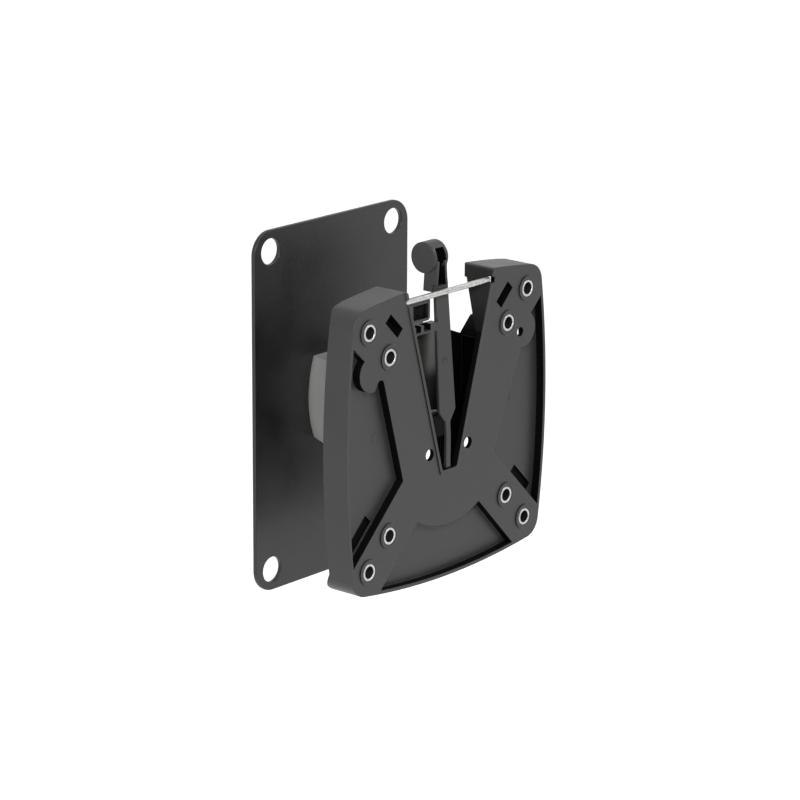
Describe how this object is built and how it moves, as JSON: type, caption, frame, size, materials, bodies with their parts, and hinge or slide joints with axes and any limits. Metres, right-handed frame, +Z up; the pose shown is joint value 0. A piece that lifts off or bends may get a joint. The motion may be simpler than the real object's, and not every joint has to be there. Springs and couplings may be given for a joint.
{
  "type": "monitor wall mount",
  "caption": "Tilting, swivelling and turning wall mount for a monitor: a steel wall plate with a silver hub and a square black quick-release head with a sprung lever in a V notch.",
  "frame": {"origin": "centre of the wall plate's back face", "axes": "+Y into the wall, so the monitor side faces -Y; +Z up; +X to the right as the monitor side is seen from the front"},
  "size_m": [0.1274, 0.0665, 0.155],
  "materials": {
    "plate_coat": "black powder coat with a fine texture",
    "yoke_coat": "black powder coat, smooth",
    "hub_alloy": "satin silver casting",
    "zinc_steel": "zinc-plated steel",
    "shoe_coat": "black coat on pressed steel, half gloss",
    "black_steel": "blackened steel bolt",
    "friction_plastic": "matt friction plastic",
    "head_plastic": "black moulded plastic with a fine matt grain"
  },
  "bodies": {
    "wall": {"wall_plate": "plate_coat", "wall_hub": "hub_alloy", "hub_screws": "zinc_steel", "tilt_bolt": "zinc_steel", "tilt_washer": "zinc_steel", "tilt_friction_discs": "friction_plastic"},
    "tilt": {"tilt_yoke": "yoke_coat", "swivel_bolt": "zinc_steel", "swivel_nut": "zinc_steel", "swivel_washers": "zinc_steel", "swivel_friction_discs": "friction_plastic"},
    "swivel": {"swivel_knuckle": "yoke_coat", "spin_friction_ring": "friction_plastic", "spin_washer": "zinc_steel", "spin_bolt": "black_steel"},
    "head": {"release_shoe": "shoe_coat", "head_frame": "head_plastic", "head_rim": "head_plastic", "vesa_100_eyelets": "zinc_steel", "vesa_75_eyelets": "zinc_steel", "cross_rod": "zinc_steel"},
    "lever": {"release_lever": "head_plastic"}
  },
  "joints": [
    {"name": "tilt", "type": "hinge", "parent": "wall", "child": "tilt", "pos_m": [0, -0.018, 0.0016], "axis": [1, 0, 0], "range_deg": [-15, 15]},
    {"name": "swivel", "type": "hinge", "parent": "tilt", "child": "swivel", "pos_m": [0, -0.042, 0.0016], "axis": [0, 0, 1], "range_deg": [-25, 25]},
    {"name": "turn", "type": "hinge", "parent": "swivel", "child": "head", "pos_m": [0, -0.0515, -0.0025], "axis": [0, -1, 0], "range_deg": [-90, 90]},
    {"name": "release", "type": "hinge", "parent": "head", "child": "lever", "pos_m": [0, -0.065, -0.0198], "axis": [-1, 0, 0], "range_deg": [0, 5], "stiffness_Nm_per_rad": 3}
  ]
}
